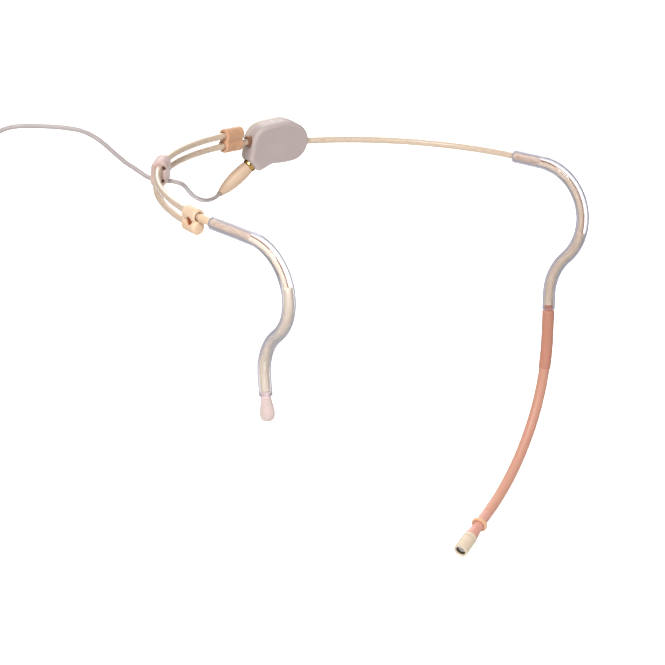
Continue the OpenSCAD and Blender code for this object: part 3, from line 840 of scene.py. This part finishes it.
def make_hook(prefix, hook, body, start, bare, clear, core_look, nodes):
    """A clear sleeve from start over the rod's end, the spring wire and the thin lead beside it, then a
    thicker core from the angle bare of the first bend."""
    sleeve = clear_sleeve(prefix + "_Hook_Sleeve", hook, start, clear)
    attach(sleeve, body)
    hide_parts(nodes[0])
    core_from = hook.run + hook.r1 * math.radians(bare)
    path = spread(hook.run - 0.4, core_from + 1, 0.9)
    wire = bar(prefix + "_Hook_Wire", [hook.at(s) @ move(z=HOOK_WIRE_Z) for s in path],
               HOOK_WIRE_R, 16)
    finish_piece(wire, body, "spring_wire", wire_and_gap_shade_brown, nodes[1])
    path = spread(hook.run - 2.2, core_from + 1, 0.9)
    lead = bar(prefix + "_Hook_Lead", [hook.at(s) @ move(z=HOOK_LEAD_Z) for s in path],
               HOOK_LEAD_R, 28)
    finish_piece(lead, body, "core", core_look)
    path = spread(core_from, hook.length - CORE_SHORT, 0.9)
    core = bar(prefix + "_Hook_Core", [hook.at(s) for s in path], CORE_R, 36, 0.15)
    finish_piece(core, body, "core", core_look, nodes[2])


def make_hooks():
    make_hook("Mic", MIC_HOOK, "mic_side", 2.1, 98, tube_mic_shaded, core_mic_shaded,
              ("mic_hook_sleeve", "mic_hook_wire", "mic_hook_core"))
    make_hook("Free", FREE_HOOK, "free_side", -0.7, 73, tube_free_lit, core_free_lit,
              ("free_hook_sleeve", "free_hook_wire", "free_hook_core"))
    tip = lathe("Free_Tip_Cap", FREE_END, [
        (-1.2, 0.2), (-1.2, 1.0), (0.2, 1.0), (0.2, 1.5), (1.2, 1.55), (2.6, 1.75), (3.9, 2.05),
        (5.1, 2.2), (6, 2.15), (6.9, 1.9), (7.4, 1.5), (7.5, 0.6), (7.2, 0.5), (7.2, 0.1),
    ], 0.3)
    finish_piece(tip, "free_side", "tip", tip_pale, "free_tip_cap")


# ---- housing, collar and inner works ----

HOUSE_MIDDLE = Vector((-4.2, -3.6))
COLLAR = at_arc(HOUSE_AT - 8.9, LO_Z)


def house_outline(inset, count=200):
    """The housing's outline seen square on, as points at even angles about its middle."""
    groups = (
        ((-4.2, -2.7, 6.2), (0.8, -2.3, 6.5), (3, -2.5, 6)),
        ((-4.2, -2.7, 6.1), (-7.3, -9.4, 1.4), (-9.3, -7, 1.4)),
    )
    reach = [0.0] * count
    for circles in groups:
        dots = [
            Vector((x + (r - inset) * math.cos(t), z + (r - inset) * math.sin(t)))
            for x, z, r in circles
            for t in (2 * math.pi * k / 90 for k in range(90))
        ]
        hull = [dots[i] - HOUSE_MIDDLE for i in convex_hull_2d(dots)]
        for k in range(count):
            way = Vector((math.cos(2 * math.pi * k / count), math.sin(2 * math.pi * k / count)))
            for a, b in zip(hull, hull[1:] + hull[:1]):
                side = b - a
                cross = way.x * side.y - way.y * side.x
                if abs(cross) > 1e-9:
                    far = (a.x * side.y - a.y * side.x) / cross
                    on = (a.x * way.y - a.y * way.x) / cross
                    if far > 0 and -1e-6 <= on <= 1 + 1e-6:
                        reach[k] = max(reach[k], far)
    for _ in range(3):
        reach = [(reach[k - 1] + 2 * reach[k] + reach[(k + 1) % count]) / 4 for k in range(count)]
    return [
        HOUSE_MIDDLE + r * Vector((math.cos(t), math.sin(t)))
        for r, t in ((reach[k], 2 * math.pi * k / count) for k in range(count))
    ]


def house_loft(name, levels):
    """Rings of the outline at (depth, inset), and towards the middle as (depth, inset, share of size)."""
    known = {}
    rings = []
    for level in levels:
        depth, inset, share = level if len(level) == 3 else (*level, 1.0)
        if inset not in known:
            known[inset] = house_outline(inset)
        rings.append([
            HOUSE @ Vector((q.x, depth, q.y))
            for q in (HOUSE_MIDDLE + (p - HOUSE_MIDDLE) * share for p in known[inset])
        ])
    return skin(name, rings)


def bevel_levels(edge, face, inset, towards):
    """From a side wall's edge depth round to the face depth, then across the face."""
    turn_in = [
        (edge + (face - edge) * math.sin(t), inset * (1 - math.cos(t)))
        for t in spread(0, math.pi / 2, 0.32)
    ]
    flat = [(face + 0.012 * towards * (1 - share), inset, share) for share in (0.97, 0.9, 0.7, 0.4, 0.1)]
    return turn_in + flat


def make_housing():
    groove = 0.14
    inner = [(PART_Y, 0.5, 0.1), (PART_Y, 0.5, 0.6), (PART_Y, 0.3), (PART_Y - 0.05, groove),
             (PART_Y - 0.16, 0.0), (-0.5, 0.0), (-2, 0.0)]
    inner += bevel_levels(FACE_IN + 1.1, FACE_IN, 1.1, 1)
    outer = [(PART_Y + 0.02, 0.5, 0.1), (PART_Y + 0.02, 0.5, 0.6), (PART_Y + 0.02, 0.3),
             (PART_Y + 0.07, groove), (PART_Y + 0.18, 0.0), (2, 0.0)]
    outer += bevel_levels(FACE_OUT - 0.62, FACE_OUT, 0.62, -1)
    for name, levels, look, node in (
        ("Housing_Inner", inner, shell_taupe, "housing_inner_shell"),
        ("Housing_Outer", outer, shell_pale, "housing_outer_shell"),
    ):
        shell = house_loft(name, levels)
        cut(shell,
            bar("hole", [COLLAR @ move(x=x) for x in (-5, -1, 0.9)], 1.75, 48, 0),
            bar("hole", [PLUG @ move(x=x) for x in (-5.6, 0, 6)], 2.3, 64, 0))
        finish_piece(crisp(shell, 28), "mic_side", "housing", look, node)
    # The collar sits in the housing's recess and carries its painted shade.
    collar = lathe("Rod_Collar", COLLAR, [
        (-0.9, 1.06), (-0.9, 1.45), (-0.72, 1.7), (0.8, 1.7), (0.8, 1.06),
    ], 0.1, 56)
    finish_piece(collar, "mic_side", "collar", collar_recess_shade, "rod_collar")


def dress(node, look):
    """A CAD node that shows as it is, in a better material."""
    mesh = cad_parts[node].data
    mesh.materials.clear()
    mesh.materials.append(look)
    mesh.polygons.foreach_set("material_index", [0] * len(mesh.polygons))


def dress_inner_works():
    board = moulded("Board_green", linear(44, 104, 66), 0.3, tint=linear(30, 84, 52), relief=0.05)
    for node, look in (
        ("plug_socket", shell_pale), ("socket_contact", gold), ("circuit_board", board),
        ("rod_anchor", metal("Anchor_brass", linear(190, 158, 100), 0.35)), ("plug_pins", gold),
        ("plug_nose", black), ("boom_core", wire_and_gap_shade_brown),
    ):
        dress(node, look)


# ---- plug and lead ----

plug_tan = moulded("Plug_tan", linear(230, 200, 172), 0.42, tint=linear(216, 184, 154), edge_pale=1.08)
plug_rear = moulded("Plug_rear", linear(190, 166, 148), 0.5, tint=linear(160, 138, 122))


def make_plug():
    body = lathe("Plug_Body", PLUG, [
        (1.3, 1.2), (1.3, 1.9), (1.45, 2.06), (1.9, 2.12), (3.5, 2.24), (5.3, 2.3), (7.4, 2.22),
        (9, 2.03), (10.6, 1.72), (12, 1.35), (12.6, 1.14), (12.7, 0.95), (12.7, 0.2),
    ], 0.3, 72)
    finish_piece(body, "plug", "plug", plug_tan, "plug_body")
    rear = lathe("Plug_Relief", PLUG, [(12.5, 0.2), (12.5, 1.04), (12.9, 1), (13.4, 0.88), (13.6, 0.78),
                                       (13.6, 0.2)], 0.1, 40)
    finish_piece(rear, "plug", "plug", plug_rear, "plug_relief")
    collar = lathe("Plug_Collar", PLUG, [
        (-0.7, 1.27), (-0.7, 1.95), (-0.55, 2.12), (1.05, 2.12), (1.2, 1.95), (1.2, 1.27),
    ], 0.06, 96)
    notches = []
    for k in range(6):
        at = PLUG @ turn(x=60 * k)
        notches.append(skin("notch", [
            [at @ Vector((x, y, z)) for x, y in ((0.35, -0.42), (1.4, -0.42), (1.4, 0.42), (0.35, 0.42))]
            for z in (1.2, 2.6)
        ]))
    cut(collar, *notches)
    finish_piece(crisp(collar, 30), "plug", "gold", gold, "plug_collar")


def make_lead():
    route = smooth(LEAD_ROUTE, 0.9)
    start, out = route[0], PLUG.to_3x3() @ Vector((1, 0, 0))
    route = [start - out * 1.2, start - out * 0.5] + route
    route.append(Vector(RUN_ROUTE[0]))
    lead = skin("Plug_Lead", [ring_at(p, LEAD_R, 16) for p in places_along(route)])
    lead.data.materials.append(lead_grey)
    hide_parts("cable_lead")
    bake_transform(lead)


# ---- clip ----

CLIP_R, CLIP_BORE = 2.4, 1.04
# Each hollow as height and radius
CLIP_HOLLOWS = (1.58, 0.71), (-2.22, 0.66)


def make_clip():
    """The soft clip: a lobe over both rods, a blind hollow beside each, and bores for rods and lead."""
    pink = soft_rubber("Clip_rubber", linear(226, 200, 192), linear(208, 178, 170), 0.5, 0.5, 0.0022)
    at, lead_at = at_arc(-31), at_arc(-29.3) @ move(z=-3.65) @ turn(z=90)
    clip = melt(join("Cable_Clip", [
        bar("lobe", [at @ move(x=x, z=z) for x in spread(-3.9, 3.9, 1.3)], CLIP_R, 56, 0.3)
        for z in spread(-2.35, 1.3, 0.6)
    ]), 0.16, 5)
    holes = [
        bar("hole", [at @ move(x=x, y=-1.37, z=z) for x in (-6, -4.3, -2.13)], r, 30, 0.01)
        for z, r in CLIP_HOLLOWS
    ]
    holes.append(bar("hole", [lead_at @ move(x=x) for x in (-7, 0, 7)], LEAD_R + 0.02, 32, 0))
    holes += [bar("hole", arc_places(-38, -24, h, 0.7), CLIP_BORE, 32, 0) for h in (UP_Z, LO_Z)]
    cut(clip, *holes)
    finish_piece(crisp(clip), "mic_side", "soft_clip", pink, "cable_clip")


# ---- boom ----

def boom_skin(name, top, low, rough):
    """Soft boom rubber whose colour warms along it, with faint lengthways marks."""
    n = Nodes(name)
    lie = n.add("ShaderNodeAttribute", attribute_name="lie").outputs["Vector"]
    split = n.add("ShaderNodeSeparateXYZ")
    n.link(lie, split.inputs["Vector"])
    share = n.add("ShaderNodeMapRange")
    share.inputs["From Max"].default_value = 66
    n.link(split.outputs["X"], share.inputs["Value"])
    warmed = n.mix(share.outputs["Result"], top, low)
    streaks = n.noise(3, 4, stretch=(0.08, 1, 1), lie=True)
    n.link(n.mix(n.range(streaks, 0.0, 0.5), warmed, toned(top, 0.8)), n.shader.inputs["Base Color"])
    n.link(n.range(n.noise(1.1, 3), rough - 0.06, rough + 0.12), n.shader.inputs["Roughness"])
    n.link(n.bump(n.noise(3.2, 2), 0.12, 0.00003), n.shader.inputs["Normal"])
    n.shader.inputs["Subsurface Weight"].default_value = 0.15
    n.shader.inputs["Subsurface Radius"].default_value = (1.0, 0.5, 0.35)
    n.shader.inputs["Subsurface Scale"].default_value = 0.0006
    return n.material


boom_tan = boom_skin("Boom_rubber", linear(216, 156, 132), linear(238, 176, 152), 0.42)
boom_dark = boom_skin("Boom_sleeve_rubber", linear(208, 144, 120), linear(214, 150, 126), 0.5)
collar_pink = boom_skin("Boom_collar_rubber", linear(238, 176, 158), linear(238, 176, 158), 0.45)
cream = moulded("Capsule_cream", linear(244, 224, 198), 0.36, tint=linear(232, 208, 180), edge_pale=1.06,
                specular=0.5, grain=3.5)
ring_amber = soft_rubber("Ring_rubber", linear(250, 206, 168), linear(240, 184, 138), 0.35, 0.3, 0.0006)
steel = metal("Capsule_steel", (0.62, 0.62, 0.63), 0.28)
gasket_dark = moulded("Gasket_dark", linear(84, 76, 54), 0.55, tint=linear(60, 54, 40))


def make_boom():
    pin = bar("Boom_Root_Pin", [BOOM @ move(x=x) for x in spread(-1.4, 3, 1.1)], 1.0, 40, 0.15)
    finish_piece(pin, "boom", "boom", boom_dark, "boom_root_pin")
    tube = bar("Boom_Tube", [boom_place(s) for s in spread(0.3, BOOM_LENGTH + 2, 1.1)], BOOM_R, 56, 0.15)
    finish_piece(tube, "boom", "boom", boom_tan, "boom_tube")
    sleeve_to = BOOM_RUN + BOOM_R1 * math.radians(BOOM_SLEEVE_TURN)
    stations = [(0.4, BOOM_R + 0.02), (0.4, 1.75), (0.55, BOOM_SLEEVE_R)]
    stations += [(s, BOOM_SLEEVE_R) for s in spread(1.2, sleeve_to - 1.4, 1.0)]
    stations += [(sleeve_to - 0.5, 1.83), (sleeve_to - 0.1, 1.76), (sleeve_to, BOOM_R + 0.02)]
    sleeve = skin("Boom_Sleeve", [ring_at(boom_place(s), r, 56) for s, r in stations])
    finish_piece(sleeve, "boom", "boom", boom_dark, "boom_sleeve")
    collar = lathe("Boom_Collar", BOOM_END, [
        (2, 0.4), (2, 1.55), (2.1, BOOM_R), (9.2, BOOM_R), (10.2, 1.72), (12.4, 2.05), (12.6, 2.05),
        (12.6, 0.4),
    ], 0.25)
    finish_piece(collar, "boom", "boom", collar_pink, "boom_collar")
    ring = lathe("Drip_Ring", BOOM_END @ move(x=6.9), [
        (-0.3, 1.74), (-0.62, 2.0), (-0.62, 2.3), (-0.3, 2.48), (0.3, 2.48), (0.62, 2.3), (0.62, 2.0),
        (0.3, 1.74),
    ], 0.2, 72, closed=True)
    finish_piece(ring, "windscreen_ring", "ring", ring_amber, "drip_ring")
    base = lathe("Capsule_Base", BOOM_END, [
        (12.6, 0.4), (12.6, 2.02), (13.1, CAPS_R), (14.05, CAPS_R), (14.1, 2.12), (14.1, 1.8), (15.5, 1.8),
        (15.5, 0.4),
    ], 0.08)
    finish_piece(base, "boom", "capsule", cream, "capsule_base")
    cap = lathe("Capsule_Cap", BOOM_END, [
        (14.2, 1.87), (14.2, 2.1), (14.3, CAPS_R), (19.2, CAPS_R), (19.4, 2.0), (19.4, 1.6), (19.25, 1.5),
        (18.92, 1.5), (18.88, 1.87),
    ], 0.1, 80, closed=True)
    finish_piece(cap, "cap", "capsule", cream, "capsule_cap")
    element = lathe("Capsule_Element", BOOM_END, [
        (15.6, 0.2), (15.6, 1.6), (15.75, 1.72), (18.2, 1.72), (18.3, 1.6), (18.3, 0.2),
    ], 0.08)
    finish_piece(element, "boom", "element", steel, "capsule_element")
    gasket = lathe("Capsule_Gasket", BOOM_END, [
        (18.3, 1.25), (18.3, 1.7), (18.66, 1.7), (18.7, 1.6), (18.7, 1.35), (18.62, 1.25),
    ], 0.06, 64, closed=True)
    finish_piece(gasket, "boom", "gasket", gasket_dark, "capsule_gasket")
    disc = lathe("Capsule_Mesh", BOOM_END, [
        (18.34, 0.1), (18.34, 1.22), (18.46, 1.22), (18.5, 1.1), (18.52, 0.1),
    ], 0.04, 64)
    holes = []
    for row in range(-3, 4):
        for k in range(-3, 4):
            y, z = 0.32 * (k + 0.5 * (row % 2)), 0.28 * row
            if y * y + z * z < 0.95:
                holes.append(bar("hole", [BOOM_END @ move(x=x, y=y, z=z) for x in (18.42, 18.5, 18.7)],
                                 0.085, 12, 0))
    cut(disc, join("holes", holes))
    finish_piece(crisp(disc), "boom", "element", steel, "capsule_mesh")


make_rods()
make_sliders()
make_hooks()
make_housing()
dress_inner_works()
make_plug()
make_lead()
make_clip()
make_boom()
